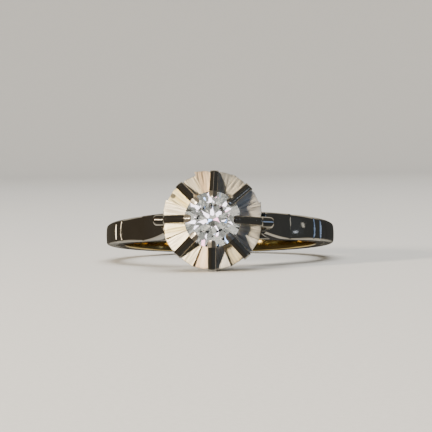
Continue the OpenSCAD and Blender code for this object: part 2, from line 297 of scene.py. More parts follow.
def linear(code):
    """The linear colour of an sRGB hex value."""
    parts = [int(code[i:i + 2], 16) / 255 for i in (0, 2, 4)]
    return [c / 12.92 if c <= 0.04045 else ((c + 0.055) / 1.055) ** 2.4 for c in parts] + [1]


def fill_sockets(owner, node, sockets):
    """Gives each socket its value, or links it to the other node's output that stands for one."""
    for key, value in sockets.items():
        if isinstance(value, bpy.types.NodeSocket):
            owner.node_tree.links.new(value, node.inputs[key])
        else:
            node.inputs[key].default_value = value


def add_node(owner, kind, sockets=None, **settings):
    """Adds a node to a material or a world, with its settings, values and links."""
    node = owner.node_tree.nodes.new(kind)
    for key, value in settings.items():
        setattr(node, key, value)
    fill_sockets(owner, node, sockets or {})
    return node


def new_material(name, sockets):
    """A material, and its shader with these values."""
    material = bpy.data.materials.new(name)
    material.use_nodes = True
    shader = material.node_tree.nodes["Principled BSDF"]
    fill_sockets(material, shader, sockets)
    return material, shader


def polished_gold(name, light, dark, rough):
    """Gold alloy, cast, filed and buffed: a coloured mirror, dulled a little by hairline scratches from wear,
    and satin where the points are marked as worn."""
    gold, shader = new_material(name, {"Metallic": 1, "Roughness": rough})
    place = add_node(gold, "ShaderNodeTexCoord").outputs["Object"]
    # tarnish clouds about 1.5 mm across
    clouds = add_node(gold, "ShaderNodeTexNoise", {"Vector": place, "Scale": 1 / (1.5 * MM), "Detail": 3})
    tint = add_node(gold, "ShaderNodeMix",
                    {SHARE: clouds.outputs["Fac"], FIRST: linear(dark), SECOND: linear(light)},
                    data_type="RGBA")
    # the real scratches are under 0.02 mm wide; these are drawn 0.05 mm wide so that they show
    stretched = add_node(gold, "ShaderNodeMapping",
                         {"Vector": place, "Rotation": (0.3, 0.5, 0.9),
                          "Scale": (1.5 / MM, 20 / MM, 20 / MM)})
    hairlines = add_node(gold, "ShaderNodeTexNoise",
                         {"Vector": stretched.outputs["Vector"], "Scale": 1, "Detail": 2}).outputs["Fac"]
    bump = add_node(gold, "ShaderNodeBump", {"Height": hairlines, "Strength": 0.12, "Distance": 0.01 * MM})
    scuffed = add_node(gold, "ShaderNodeMapRange",
                       {"Value": hairlines, "From Min": 0.45, "From Max": 0.7,
                        "To Min": rough, "To Max": rough + 0.06})
    # a fully worn point is rougher by 0.35
    worn = add_node(gold, "ShaderNodeAttribute", attribute_name="worn").outputs["Fac"]
    dulled = add_node(gold, "ShaderNodeMath", {0: worn, 1: 0.35, 2: scuffed.outputs["Result"]},
                      operation="MULTIPLY_ADD")
    fill_sockets(gold, shader, {"Base Color": tint.outputs[MIXED], "Roughness": dulled.outputs["Value"],
                                "Normal": bump.outputs["Normal"]})
    return gold


def brushed_white_gold():
    """White gold, brushed across the band with an emery stick: grey and even, with fine lines that run from
    edge to edge."""
    gold, shader = new_material("brushed_white_gold", {"Metallic": 1, "Roughness": 0.25})
    place = add_node(gold, "ShaderNodeTexCoord").outputs["Object"]
    # the real lines are about 0.03 mm apart; these are drawn 0.12 mm apart so that they show
    apart = 0.12 * MM
    stretched = add_node(gold, "ShaderNodeMapping",
                         {"Vector": place, "Scale": (1 / apart, 1 / apart, 0.15 / MM)})
    lines = add_node(gold, "ShaderNodeTexNoise",
                     {"Vector": stretched.outputs["Vector"], "Scale": 1, "Detail": 2}).outputs["Fac"]
    tint = add_node(gold, "ShaderNodeMix",
                    {SHARE: lines, FIRST: linear("aaa493"), SECOND: linear("dcd7cb")}, data_type="RGBA")
    bump = add_node(gold, "ShaderNodeBump", {"Height": lines, "Strength": 0.5, "Distance": 0.03 * MM})
    fill_sockets(gold, shader, {"Base Color": tint.outputs[MIXED], "Normal": bump.outputs["Normal"]})
    return gold


def bright_cut_white_gold():
    """White gold, cut facet by facet with a graver and left as cut: satin and cream-white, each facet in a
    tone of its own with painted light and shade in it, with fine grooves that run from the stone to the rim,
    and one grey tarnish spot."""
    gold, shader = new_material("bright_cut_white_gold", {"Metallic": 1, "Roughness": 0.6})
    # a point's place in its facet, in millimetres across and along the cut
    cut = add_node(gold, "ShaderNodeAttribute", attribute_name="cut").outputs["Vector"]
    # graver lines 0.12 mm apart, about 2 mm long
    lines = add_node(gold, "ShaderNodeMapping", {"Vector": cut, "Scale": (8, 0.5, 1)})
    grooves = add_node(gold, "ShaderNodeTexNoise",
                       {"Vector": lines.outputs["Vector"], "Scale": 1, "Detail": 3}).outputs["Fac"]
    # broad bands of tint, 0.5 mm apart
    bands = add_node(gold, "ShaderNodeMapping", {"Vector": cut, "Scale": (2, 0.3, 1)})
    tints = add_node(gold, "ShaderNodeTexNoise",
                     {"Vector": bands.outputs["Vector"], "Scale": 1, "Detail": 3}).outputs["Fac"]
    paler = add_node(gold, "ShaderNodeMapRange",
                     {"Value": tints, "From Min": 0.38, "From Max": 0.62, "To Max": 0.45}).outputs["Result"]
    # each facet's colour, with its painted light and shade
    shade = add_node(gold, "ShaderNodeAttribute", attribute_name="shade").outputs["Color"]
    tint = add_node(gold, "ShaderNodeMix", {SHARE: paler, FIRST: shade, SECOND: linear("f5f0e2")},
                    data_type="RGBA").outputs[MIXED]
    # the deepest grooves are dark
    deep = add_node(gold, "ShaderNodeMapRange",
                    {"Value": grooves, "From Min": 0.3, "From Max": 0.45,
                     "To Min": 0.6, "To Max": 0}).outputs["Result"]
    streaked = add_node(gold, "ShaderNodeMix", {SHARE: deep, FIRST: tint, SECOND: linear("8f8874")},
                        data_type="RGBA").outputs[MIXED]
    # the spot: 0.45 mm across, in the last but one petal
    spot_middle = Vector((-3.33, 1.93, PLATE_Z - PETAL_FALL * (3.85 - SEAT_R)))
    spot_at = RING @ (Matrix.Rotation(HEAD_TURN, 3, "Z") @ spot_middle)
    place = add_node(gold, "ShaderNodeTexCoord").outputs["Object"]
    away = add_node(gold, "ShaderNodeVectorMath", {0: place, 1: spot_at},
                    operation="DISTANCE").outputs["Value"]
    spot = add_node(gold, "ShaderNodeMapRange",
                    {"Value": away, "From Min": 0.17 * MM, "From Max": 0.28 * MM,
                     "To Min": 0.9, "To Max": 0}).outputs["Result"]
    stained = add_node(gold, "ShaderNodeMix", {SHARE: spot, FIRST: streaked, SECOND: linear("57554f")},
                       data_type="RGBA")
    rough = add_node(gold, "ShaderNodeMapRange",
                     {"Value": grooves, "From Min": 0.3, "From Max": 0.7, "To Min": 0.45, "To Max": 0.85})
    bump = add_node(gold, "ShaderNodeBump", {"Height": grooves, "Strength": 0.8, "Distance": 0.04 * MM})
    fill_sockets(gold, shader, {"Base Color": stained.outputs[MIXED], "Roughness": rough.outputs["Result"],
                                "Normal": bump.outputs["Normal"]})
    return gold


def cut_diamond():
    """Diamond, cleaved, cut and polished: colourless, with the strongest gloss of any clear stone."""
    stone, shader = new_material("cut_diamond", {"Roughness": 0, "IOR": 2.417, "Transmission Weight": 1})
    place = add_node(stone, "ShaderNodeTexCoord").outputs["Object"]
    # the faintest of clouds, 1 mm across
    clouds = add_node(stone, "ShaderNodeTexNoise", {"Vector": place, "Scale": 1 / MM, "Detail": 1})
    tint = add_node(stone, "ShaderNodeMix",
                    {SHARE: clouds.outputs["Fac"], FIRST: linear("dde5e6"), SECOND: linear("eef2f2")},
                    data_type="RGBA")
    fill_sockets(stone, shader, {"Base Color": tint.outputs[MIXED]})
    return stone


def matte_card():
    """Card, uncoated: pale and even, with a fibre grain that only shows in raking light."""
    card, shader = new_material("matte_card", {"Roughness": 0.9})
    place = add_node(card, "ShaderNodeTexCoord").outputs["Object"]
    # the real fibres are about 0.03 mm thick; these are drawn 0.4 mm across so that they show
    fibres = add_node(card, "ShaderNodeTexNoise",
                      {"Vector": place, "Scale": 2.5 / MM, "Detail": 4}).outputs["Fac"]
    tint = add_node(card, "ShaderNodeMix",
                    {SHARE: fibres, FIRST: linear("b4b2ad"), SECOND: linear("bebcb7")}, data_type="RGBA")
    bump = add_node(card, "ShaderNodeBump", {"Height": fibres, "Strength": 0.15, "Distance": 0.1 * MM})
    fill_sockets(card, shader, {"Base Color": tint.outputs[MIXED], "Normal": bump.outputs["Normal"]})
    return card


white_gold = polished_gold("polished_white_gold", "ddd6c8", "c9c1b2", 0.06)
yellow_gold = polished_gold("polished_yellow_gold", "ecd494", "d6b872", 0.08)
brushed_gold = brushed_white_gold()
petal_gold = bright_cut_white_gold()
diamond = cut_diamond()


# Hoop. A cut through it is a function that gives the angle from the head at each radius.

def hoop_outer(angle):
    """Outer radius at an angle from the head: the outer circle's middle sits a little toward the head."""
    return HOOP_LIFT * math.cos(angle) + math.sqrt(HOOP_R ** 2 - (HOOP_LIFT * math.sin(angle)) ** 2)


def half_width(z):
    """Half the band's width at a height."""
    return mix(BAND_HALF, SHOULDER_HALF, min(max(z / FULL_WIDTH_Z, 0), 1))


def crown_drop(y):
    """How far the crowned outer face has fallen off at a distance from its middle."""
    return CROWN_R - math.sqrt(CROWN_R ** 2 - y ** 2)


def radial(degrees):
    """A cut at one angle from the head."""
    angle = math.radians(degrees)
    return lambda r: angle


def upright(x):
    """A cut at one distance from the ring's middle."""
    return lambda r: math.asin(x / r)


def level(side, drop):
    """A cut this far below the hole's middle, on the right (side 1) or the left (side -1)."""
    return lambda r: side * math.acos(-drop / r)


def between(first, second):
    """A cut halfway between two."""
    return lambda r: (first(r) + second(r)) / 2


def band_ring(cut, inner, outer, lip, edge, crowned=True, depth=0):
    """The hoop's cross-section at a cut, with its inner lips and outer edges rounded, and the outer face down
    in a groove of this depth."""
    half = half_width(outer * math.cos(cut(outer)))
    corners = [(-half, inner, lip), (half, inner, lip), (half, outer, edge), (-half, outer, edge)]
    arcs = corner_arcs(corners, 4)
    flat = half - edge
    face = [(mix(flat, -flat, k / 10), outer) for k in range(1, 10)]
    top = arcs[2] + face + arcs[3]
    if crowned:
        top = [(y, r - crown_drop(y)) for y, r in top]
    if depth:
        top = [(y, min(r, outer - depth)) for y, r in top]
    return [(r * math.sin(cut(r)), y, r * math.cos(cut(r))) for y, r in arcs[0] + arcs[1] + top]


def make_shank():
    """The yellow gold: the hoop's back, and the lining that runs on from it under the white gold."""
    right_end, left_end = level(1, JOINT_DROP + SEAM), level(-1, JOINT_DROP + SEAM)
    # round the back at full thickness, then over the top as the thin lining
    back = [right_end] + [radial(a) for a in range(108, 254, 3)] + [left_end]
    lining = [left_end] + [radial(a) for a in range(-102, 103, 3)] + [right_end]
    rings = [band_ring(cut, BORE_R, hoop_outer(cut(HOOP_R)), LIP_ROUND, EDGE_ROUND) for cut in back]
    rings += [band_ring(cut, BORE_R, LINING_R, LIP_ROUND, SEAM_ROUND, crowned=False) for cut in lining]
    add_piece("hoop_lining_and_back", loft(rings, loop=True), yellow_gold, "shank")


def make_shoulders():
    """The white gold over the lining, from end to end. Past its outer groove each shoulder is brushed."""
    # each station: the cut, how far the outer face lies below the hoop's, and a groove's depth
    stations = [(upright(x), BRIDGE_DROP, 0) for x in (0, 0.8, 1.6, 2.4, 3.2, 3.9, SHOULDER_END)]
    stations += [(upright(SHOULDER_END + past), drop, 0) for past, drop in SHOULDER_STEP]
    stations += [(between(upright(5), radial(31)), 0, 0)]
    grooves = sorted(90 - angle for angle in GROOVE_ANGLES)
    clear = math.degrees(GROOVE_PROFILE[-1][0] / HOOP_R) + 0.3
    plain = [a for a in range(34, 102, 2) if all(abs(a - g) > clear for g in grooves)]
    cuts = [(a, 0) for a in plain]
    cuts += [(g + math.degrees(s / HOOP_R), depth) for g in grooves for s, depth in GROOVE_PROFILE]
    stations += [(radial(a), 0, depth) for a, depth in sorted(cuts)]
    stations += [(level(1, JOINT_DROP), 0, 0)]
    right = [band_ring(cut, LINING_R + SEAM, hoop_outer(cut(HOOP_R)) - drop, SEAM_ROUND, EDGE_ROUND,
                       depth=depth)
             for cut, drop, depth in stations]
    left = [[(-x, y, z) for x, y, z in ring] for ring in right]
    # the brushed stretch: every plain cut past the outer groove, and the level end
    polished = len(right) - sum(a > grooves[-1] for a in plain) - 1
    middle = left[polished - 1:0:-1] + right[:polished]
    add_piece("shoulders_and_bridge", loft(middle), white_gold, "setting")
    for side, rings in (("right", right), ("left", left)):
        add_piece(f"brushed_end_{side}", loft(rings[polished - 1:]), brushed_gold, "setting")


# Head

def curve_point(guides, t):
    """Point at t on the cubic curve led by four guide points."""
    points = [Vector(guide) for guide in guides]
    while len(points) > 1:
        points = [mix(a, b, t) for a, b in zip(points, points[1:])]
    return points[0]


def upright_section(inner, outer, half, inner_round, outer_round, crown):
    """A cross-section between two points of the side view, with rounded edges and an outer face that falls
    off by crown times the square of the distance from its middle."""
    span = outer - inner
    width = span.length
    arcs = corner_arcs([(0, -half, inner_round), (width, -half, outer_round),
                        (width, half, outer_round), (0, half, inner_round)], 3)
    flat = half - outer_round
    face = [(width, mix(-flat, flat, k / 6)) for k in range(1, 6)]
    section = arcs[0] + [(s - crown * y * y, y) for s, y in arcs[1] + face + arcs[2]] + arcs[3]
    return [(inner.x + span.x * s / width, y, inner.y + span.y * s / width) for s, y in section]


def domed(rings, rise):
    """Closes the last ring with a low dome."""
    rim = [Vector(point) for point in rings[-1]]
    middle = sum(rim, Vector()) / len(rim)
    for up, share in ((0.4, 0.96), (0.75, 0.85), (0.95, 0.6)):
        rings.append([middle + (point - middle) * share + Vector((0, 0, rise * up)) for point in rim])
    return rings


def arm():
    """The shoulder's sweep up to the head, narrowing upward, with a domed end."""
    rings = []
    steps = 18
    for i in range(steps + 1):
        outer = curve_point(ARM_OUTER, i / steps)
        inner = curve_point(ARM_INNER, i / steps)
        narrowing = max(0, (outer.y - FULL_WIDTH_Z) / (ARM_TOP_Z - FULL_WIDTH_Z))
        half = mix(SHOULDER_HALF, ARM_END_HALF, narrowing)
        rings.append(upright_section(inner, outer, half, inner_round=0.1, outer_round=0.18,
                                     crown=1 / (2 * CROWN_R)))
    return loft(domed(rings, ARM_DOME))


def post():
    """The narrow bar from the arm's end to the plate's rim."""
    rings = []
    for i, outer in enumerate(POST_OUTER):
        inner = curve_point(POST_INNER, i / (len(POST_OUTER) - 1))
        rings.append(upright_section(inner, Vector(outer), POST_HALF, inner_round=0.1, outer_round=0.13,
                                     crown=POST_CROWN))
    return loft(rings)


def basket_r(z):
    """Outer radius of the basket at a height."""
    t = (z - FOOT_Z) / (BASKET_TOP_Z - FOOT_Z)
    return FOOT_R + (BASKET_R - FOOT_R) * ((1 - BOWL_SHARE) * t + BOWL_SHARE * (1 - (1 - t) ** 2))


def basket_panel():
    """The stretch of the basket between two ribs, with its drop-shaped window. The panel's outline and the
    window's have the same number of points, from the top middle round to the right."""
    points = 40
    shares = [k / points for k in range(points)]
    # for each point its side, and how far it has come from the top middle (0) to the bottom middle (1)
    walk = [(1 if share < 0.5 else -1, min(share, 1 - share) * 2) for share in shares]
    # the parts of that way: along the panel's top, side and foot, and round the window's round end
    top_part, side_part, foot_part = 0.25, 0.6, 0.15
    round_part = 0.55
    flank = math.asin(WINDOW_R / (WINDOW_Z - WINDOW_TIP_Z))
    tip_half, tip_z = 0.03, WINDOW_TIP_Z + 0.1
    low_z = FOOT_Z + 0.1
    high_z = BASKET_TOP_Z - 0.02

    def on_wall(y, z, inset):
        """The wall's point at y and z, this far inside its outer face."""
        r = basket_r(z) - inset
        return round_point(r, math.asin(y / r), z)

    def edge_ring(inset):
        """The panel's outline."""
        ring = []
        for side, turn in walk:
            if turn < top_part:
                share, z = side * turn / top_part, high_z
            elif turn < top_part + side_part:
                share, z = side, mix(high_z, low_z, (turn - top_part) / side_part)
            else:
                share, z = side * (1 - turn) / foot_part, low_z
            ring.append(round_point(basket_r(z) - inset, share * FACET_SPAN, z))
        return ring

    def window_ring(grow, inset):
        """The window's outline, widened by grow: the round end, then the flanks down to the tip."""
        ring = []
        r = WINDOW_R + grow
        for side, turn in walk:
            if turn < round_part:
                a = math.pi / 2 - (math.pi / 2 + flank) * turn / round_part
                y, z = r * math.cos(a), WINDOW_Z + r * math.sin(a)
            else:
                down = (turn - round_part) / (1 - round_part)
                y = mix(r * math.cos(flank), tip_half, down)
                z = mix(WINDOW_Z - r * math.sin(flank), tip_z - grow, down)
            ring.append(on_wall(side * y, z, inset))
        return ring

    def middle_ring(inset):
        """Halfway between the two outlines."""
        pairs = zip(edge_ring(inset), window_ring(0.06, inset))
        halfway = [(Vector(edge) + Vector(window)) / 2 for edge, window in pairs]
        return [on_wall(y, z, inset) for x, y, z in halfway]

    # the outer face, the window's rounded outer edge, its reveal, and the inner face
    rings = [edge_ring(0), middle_ring(0), window_ring(0.06, 0), window_ring(0.02, 0.02)]
    rings += [window_ring(0, 0.07), window_ring(0, BASKET_T - 0.05), window_ring(0.04, BASKET_T)]
    rings += [middle_ring(BASKET_T), edge_ring(BASKET_T)]
    return loft(rings, loop=True)


def foot():
    """The round stem between the bridge and the basket."""
    sides = 48
    inner_r = 0.3
    low_z = LINING_R - 0.05
    profile = [(inner_r, low_z), (FOOT_R + 0.05, low_z), (FOOT_R + 0.05, FOOT_Z - 0.12),
               (FOOT_R + 0.02, FOOT_Z + 0.02), (FOOT_R + 0.1, FOOT_Z + 0.2), (inner_r, FOOT_Z + 0.2)]
    angles = [math.tau * k / sides for k in range(sides)]
    return loft([[round_point(r, a, z) for r, z in profile] for a in angles], loop=True)


def crown_height(r):
    """Height over the stone's crown that a claw has to clear at a radius."""
    if r > STAR_R:
        return GIRDLE_Z + SEAM + STAR_H * (STONE_R - r) / (STONE_R - STAR_R)
    return GIRDLE_Z + SEAM + mix(STAR_H, CROWN_H, (STAR_R - r) / (STAR_R - TABLE_R))


def ridge_height(r):
    """Height of a claw's ridge at a radius."""
    return TIP_Z - RIDGE_SLOPE * (r - TIP_R)


def claw_section(r, half, top, bottom):
    """A claw's cross-section at a radius: two walls, and a roof that falls from a narrow crest. The eaves and
    the crest are a little rounded."""
    eave = max(top - (half - CLAW_CREST) * ROOF_SLOPE, bottom + 0.03)

    def roof(y):
        """The roof's height this far from the middle."""
        return mix(top, eave, (y - CLAW_CREST) / (half - CLAW_CREST))

    slope_middle = mix(half, CLAW_CREST, 0.5)
    right = [(half, mix(bottom, eave, 0.5)), (half, eave - 0.03), (half - 0.03, roof(half - 0.03)),
             (slope_middle, roof(slope_middle) + 0.008), (CLAW_CREST, top - 0.01)]
    left = [(-y, z) for y, z in reversed(right)]
    return [(r, y, z) for y, z in [(-half, bottom), (half, bottom)] + right + [(0, top)] + left]


def claw():
    """A claw's fin, which grips the stone, falls to the rim and turns down it. Returns its shape, and 1 for
    each point of its tip and 0 for the rest."""
    # the rounded tip, on the stone's crown
    rings = [claw_section(TIP_R + past, half, ridge_height(TIP_R + past) - low, crown_height(TIP_R + past))
             for past, half, low in TIP_NOSE]
    rings += [claw_section(r, CLAW_HALF, ridge_height(r), crown_height(min(r, STONE_R)))
              for r in (2.1, 2.25, STONE_R + SEAM)]
    tip_rings = len(rings)
    # the fin over the plate, down into the basket's wall toward the rim
    plate_low = PLATE_FOOT_Z + LEDGE_T + 0.05
    for r in (STONE_R + SEAM, 2.6, 3, 3.4, 3.75, RIDGE_END_R - 0.02):
        bottom = mix(plate_low, BASKET_TOP_Z, max(0, (r - 3.4) / 0.5))
        rings.append(claw_section(r, CLAW_HALF, ridge_height(r), bottom))
    # the nose
    for past, low in ((0.06, 0.03), (0.12, 0.09), (CLAW_NOSE, 0.2)):
        rings.append(claw_section(RIDGE_END_R + past, CLAW_HALF - low / 8, RIDGE_END_Z - low, BASKET_TOP_Z))
    on_tip = [int(i < tip_rings) for i, ring in enumerate(rings) for point in ring]
    return loft(rings), on_tip


def rib():
    """The claw's lower half: a bar that runs down the outside of the basket and narrows to its foot."""
    rings = []
    steps, widening = 14, 1.4
    inner_round, outer_round = 0.05, 0.09
    for i in range(steps + 1):
        t = i / steps
        z = mix(FOOT_Z, BASKET_TOP_Z + 0.25, t)
        half = mix(RIB_FOOT_HALF, CLAW_HALF, min(1, t * widening))
        r = basket_r(min(z, BASKET_TOP_Z))
        inner, outer = r - BASKET_T / 2, r + RIB_PROUD
        arcs = corner_arcs([(inner, -half, inner_round), (outer, -half, outer_round),
                            (outer, half, outer_round), (inner, half, inner_round)], 3)
        rings.append([(x, y, z) for arc in arcs for x, y in arc])
    return loft(rings)


def plate():
    """The petals: sixteen flat-cut facets round the stone, each falling outward and toward its clockwise end,
    with a step down between two of them. Returns the shape, and for each point whether it is on a petal, its
    place in its facet and its colour, which holds painted light and shade."""
    chance = random.Random(7)
    shares = [j / 12 for j in range(13)]
    across = 9
    # under the claws the plate ends inside the basket's wall, in a notch; no other station is close to the
    # notch's edge
    notch = math.asin((CLAW_HALF - 0.02) / MEAN_RIM_R) / FACET_SPAN
    notch_r = BASKET_R - 0.03
    close = 0.03
    inner_r = BASKET_R - BASKET_T
    # each facet takes its graver lines from another place of their pattern, this much further on
    facet_shift = 3.7
    rings, on_petal, places, tones_with_painted_light = [], [], [], []

    def chord(start_r, end_r, share):
        """Radius at a share of the way along the straight line between the facet's two corners."""
        a = FACET_SPAN * share
        across_start, across_end = start_r * math.sin(a), end_r * math.sin(FACET_SPAN - a)
        return start_r * end_r * math.sin(FACET_SPAN) / (across_start + across_end)

    for k in range(2 * CLAWS):
        start_r, end_r, shade = PETALS[k // 2][k % 2]
        starts_at_claw = k % 2 == 0
        edge = notch if starts_at_claw else 1 - notch
        stations = [(s, starts_at_claw) for s in shares if s < edge - close]
        stations += [(edge, starts_at_claw), (edge, not starts_at_claw)]
        stations += [(s, not starts_at_claw) for s in shares if s > edge + close]
        for share, under_claw in stations:
            angle = math.pi / 2 - FACET_SPAN * (k + share)
            off = FACET_SPAN * (0.5 - share)
            from_claw = FACET_SPAN * (share if starts_at_claw else 1 - share)
            corner = CORNER_CUT * max(0, 1 - from_claw / CORNER_SPAN) ** CORNER_CURVE
            rim_r = chord(start_r, end_r, share) - corner
            if under_claw:
                rim_r = min(rim_r, notch_r)
            ripple = chance.uniform(-1, 1) * RIPPLE

            def height(r):
                """The petal's height at a radius."""
                fall = PETAL_FALL * (r * math.cos(off) - SEAT_R)
                return PLATE_Z - fall + FACET_TILT * r * math.sin(off) + ripple * (r - SEAT_R) / 2

            # the petal, from the stone out and over the rounded rim
            radii = [mix(SEAT_R, rim_r - 0.08, j / (across - 1)) for j in range(across)]
            top = [(r, height(r)) for r in radii]
            top += [(rim_r - 0.035, height(rim_r - 0.035) - 0.01), (rim_r - 0.008, height(rim_r) - 0.035)]
            # down the rim, back along the underside, and up to the ledge round the stone
            under = [(rim_r, height(rim_r) - 0.09), (rim_r - 0.04, PLATE_FOOT_Z + 0.06),
                     (rim_r - 0.1, PLATE_FOOT_Z), (inner_r, PLATE_FOOT_Z),
                     (inner_r - 0.3, PLATE_FOOT_Z + 0.05),
                     (SEAT_R + 0.2, PLATE_FOOT_Z + LEDGE_T - 0.02), (SEAT_R, PLATE_FOOT_Z + LEDGE_T)]
            section = top + under
            rings.append([round_point(r, angle, z) for r, z in section])
            on_petal += [True] * len(top) + [False] * len(under)
            places += [(off * r, r, facet_shift * k) for r, z in section]
            tones_with_painted_light += [linear(TONES_WITH_PAINTED_LIGHT[shade])] * len(section)
    return loft(rings, loop=True), on_petal, places, tones_with_painted_light


def make_head():
    """The basket on its foot, the claws, the arms with their posts, and the petals."""
    panels = [turned(basket_panel(), PITCH * (i + 0.5) + HEAD_TURN) for i in range(CLAWS)]
    add_piece("basket", joined(panels + [foot()]), white_gold, "setting")
    for i, wear in enumerate(TIP_WEAR):
        fin, on_tip = claw()
        shape = turned(joined([fin, rib()]), math.pi / 2 - PITCH * i + HEAD_TURN)
        piece = add_piece(f"claw_{i + 1}", shape, white_gold, "setting", crease=40)
        mark(piece, "worn", [on * wear for on in on_tip])
    for side, turn in (("right", 0), ("left", math.pi)):
        shape = joined([turned(arm(), turn), turned(post(), turn + HEAD_TURN)])
        add_piece(f"arm_and_post_{side}", shape, white_gold, "setting")

    shape, on_petal, places, tones_with_painted_light = plate()
    shape = turned(shape, HEAD_TURN)
    petals = add_piece("petal_plate", shape, white_gold, "setting", crease=12)
    petals.data.materials.append(petal_gold)
    for face in petals.data.polygons:
        face.material_index = int(all(on_petal[v] for v in face.vertices))
    mark(petals, "cut", places, "FLOAT_VECTOR")
    # each point's facet colour, with painted light and shade in it
    mark(petals, "shade", tones_with_painted_light, "FLOAT_COLOR")


# Stone

def facet_planes():
    """A point and the outward direction of each facet's plane. They repeat eight times, as the claws do."""
    def at(r, angle, z):
        """A place in the stone."""
        return Vector(round_point(r, angle, z))

    table_z = GIRDLE_Z + CROWN_H
    low_z = GIRDLE_Z - GIRDLE_T
    lower_drop = (STONE_R - LOWER_R * math.cos(FACET_SPAN)) * PAVILION_SLOPE
    culet = at(0, 0, low_z - STONE_R * PAVILION_SLOPE)
    middle = at(0, 0, low_z)
    planes = [(at(0, 0, table_z), Vector((0, 0, 1)))]
    for i in range(CLAWS):
        a, b, c = PITCH * i, PITCH * i + FACET_SPAN, PITCH * i + PITCH
        star = at(STAR_R, b, GIRDLE_Z + STAR_H)
        lower = at(LOWER_R, b, low_z - lower_drop)
        # three points each of the star, the bezel, two upper and two lower girdle facets, and the main below
        for p, q, r in (
            (at(TABLE_R, a, table_z), star, at(TABLE_R, c, table_z)),
            (at(TABLE_R, a, table_z), at(STONE_R, a, GIRDLE_Z), star),
            (star, at(STONE_R, a, GIRDLE_Z), at(STONE_R, b, GIRDLE_Z)),
            (star, at(STONE_R, b, GIRDLE_Z), at(STONE_R, c, GIRDLE_Z)),
            (at(STONE_R, a, low_z), at(STONE_R, b, low_z), lower),
            (at(STONE_R, b, low_z), at(STONE_R, c, low_z), lower),
            (at(STONE_R, a, low_z), lower, culet),
        ):
            outward = (q - p).cross(r - p).normalized()
            if outward.dot(p - middle) < 0:
                outward = -outward
            planes.append((p, outward))
    return planes


def make_stone():
    """A round brilliant: a tall cylinder with every facet's plane sliced off it."""
    body = bmesh.new()
    bmesh.ops.create_cone(body, cap_ends=True, segments=96, radius1=STONE_R, radius2=STONE_R,
                          depth=4 * STONE_R, matrix=Matrix.Translation((0, 0, GIRDLE_Z - GIRDLE_T)))
    for point, outward in facet_planes():
        bmesh.ops.bisect_plane(body, geom=body.verts[:] + body.edges[:] + body.faces[:], dist=0.00001,
                               plane_co=point, plane_no=outward, clear_outer=True)
        bmesh.ops.holes_fill(body, edges=[edge for edge in body.edges if edge.is_boundary])
    bmesh.ops.dissolve_degenerate(body, dist=0.001, edges=body.edges)
    points = [vert.co.copy() for vert in body.verts]
    faces = [tuple(vert.index for vert in face.verts) for face in body.faces]
    body.free()
    shape = turned((points, faces), HEAD_TURN + STONE_TURN)
    piece = add_piece("brilliant", shape, diamond, "stone", crease=1)
    piece.data.shade_flat()


# Stage, light and camera. These sizes are in metres, apart from the camera's.

def make_stage():
    """A round pale sheet that lies flat under the ring and sweeps up on every side."""
    flat_r, bend, top = 0.42, 0.2, 0.75
    sides, flat_steps, bend_steps = 96, 4, 16
    profile = [(flat_r * k / flat_steps, 0) for k in range(1, flat_steps + 1)]
    for k in range(1, bend_steps + 1):
        a = math.pi / 2 * k / bend_steps
        profile.append((flat_r + bend * math.sin(a), bend * (1 - math.cos(a))))
    profile.append((flat_r + bend, top))
    points = [(0, 0, 0)]
    points += [round_point(r, math.tau * k / sides, z) for r, z in profile for k in range(sides)]
    faces = [(0, 1 + k, 1 + (k + 1) % sides) for k in range(sides)]
    for i in range(len(profile) - 1):
        low, high = 1 + i * sides, 1 + (i + 1) * sides
        faces += [(low + k, high + k, high + (k + 1) % sides, low + (k + 1) % sides) for k in range(sides)]
    mesh = bpy.data.meshes.new("pale_sweep")
    mesh.from_pydata(points, [], faces)
    mesh.shade_smooth()
    mesh.materials.append(matte_card())
    sweep = bpy.data.objects.new("pale_sweep", mesh)
    # the polished gold mirrors the dark room instead, as it does between black cards
    sweep.visible_glossy = False
    bpy.context.scene.collection.objects.link(sweep)


def from_ring(azimuth, elevation, distance):
    """A place seen from the ring: azimuth 0 is toward the viewer, and it grows to the right."""
    a, e = math.radians(azimuth), math.radians(elevation)
    direction = Vector((math.sin(a) * math.cos(e), -math.cos(a) * math.cos(e), math.sin(e)))
    return HOLE_MIDDLE + direction * distance


def add_softbox(name, azimuth, elevation, distance, width, height, power, colour, shines_on):
    """A soft lamp that faces the ring. Returns it."""
    lamp = bpy.data.lights.new(name, "AREA")
    lamp.shape = "RECTANGLE"
    lamp.size, lamp.size_y = width, height
    lamp.energy = power
    lamp.color = linear(colour)[:3]
    box = bpy.data.objects.new(name, lamp)
    box.location = from_ring(azimuth, elevation, distance)
    box.rotation_euler = (box.location - HOLE_MIDDLE).to_track_quat("Z", "Y").to_euler()
    box.visible_glossy = "metal" in shines_on
    box.visible_transmission = "stone" in shines_on
    box.visible_diffuse = "card" in shines_on
    bpy.context.scene.collection.objects.link(box)
    return box


def link_light(box, pieces, state):
    """Lights only these pieces with a softbox (INCLUDE), or all but them (EXCLUDE)."""
    group = bpy.data.collections.new(box.name + "_pieces")
    box.light_linking.receiver_collection = group
    for piece in pieces:
        group.objects.link(piece)
    for entry in group.collection_objects:
        entry.light_linking.link_state = state


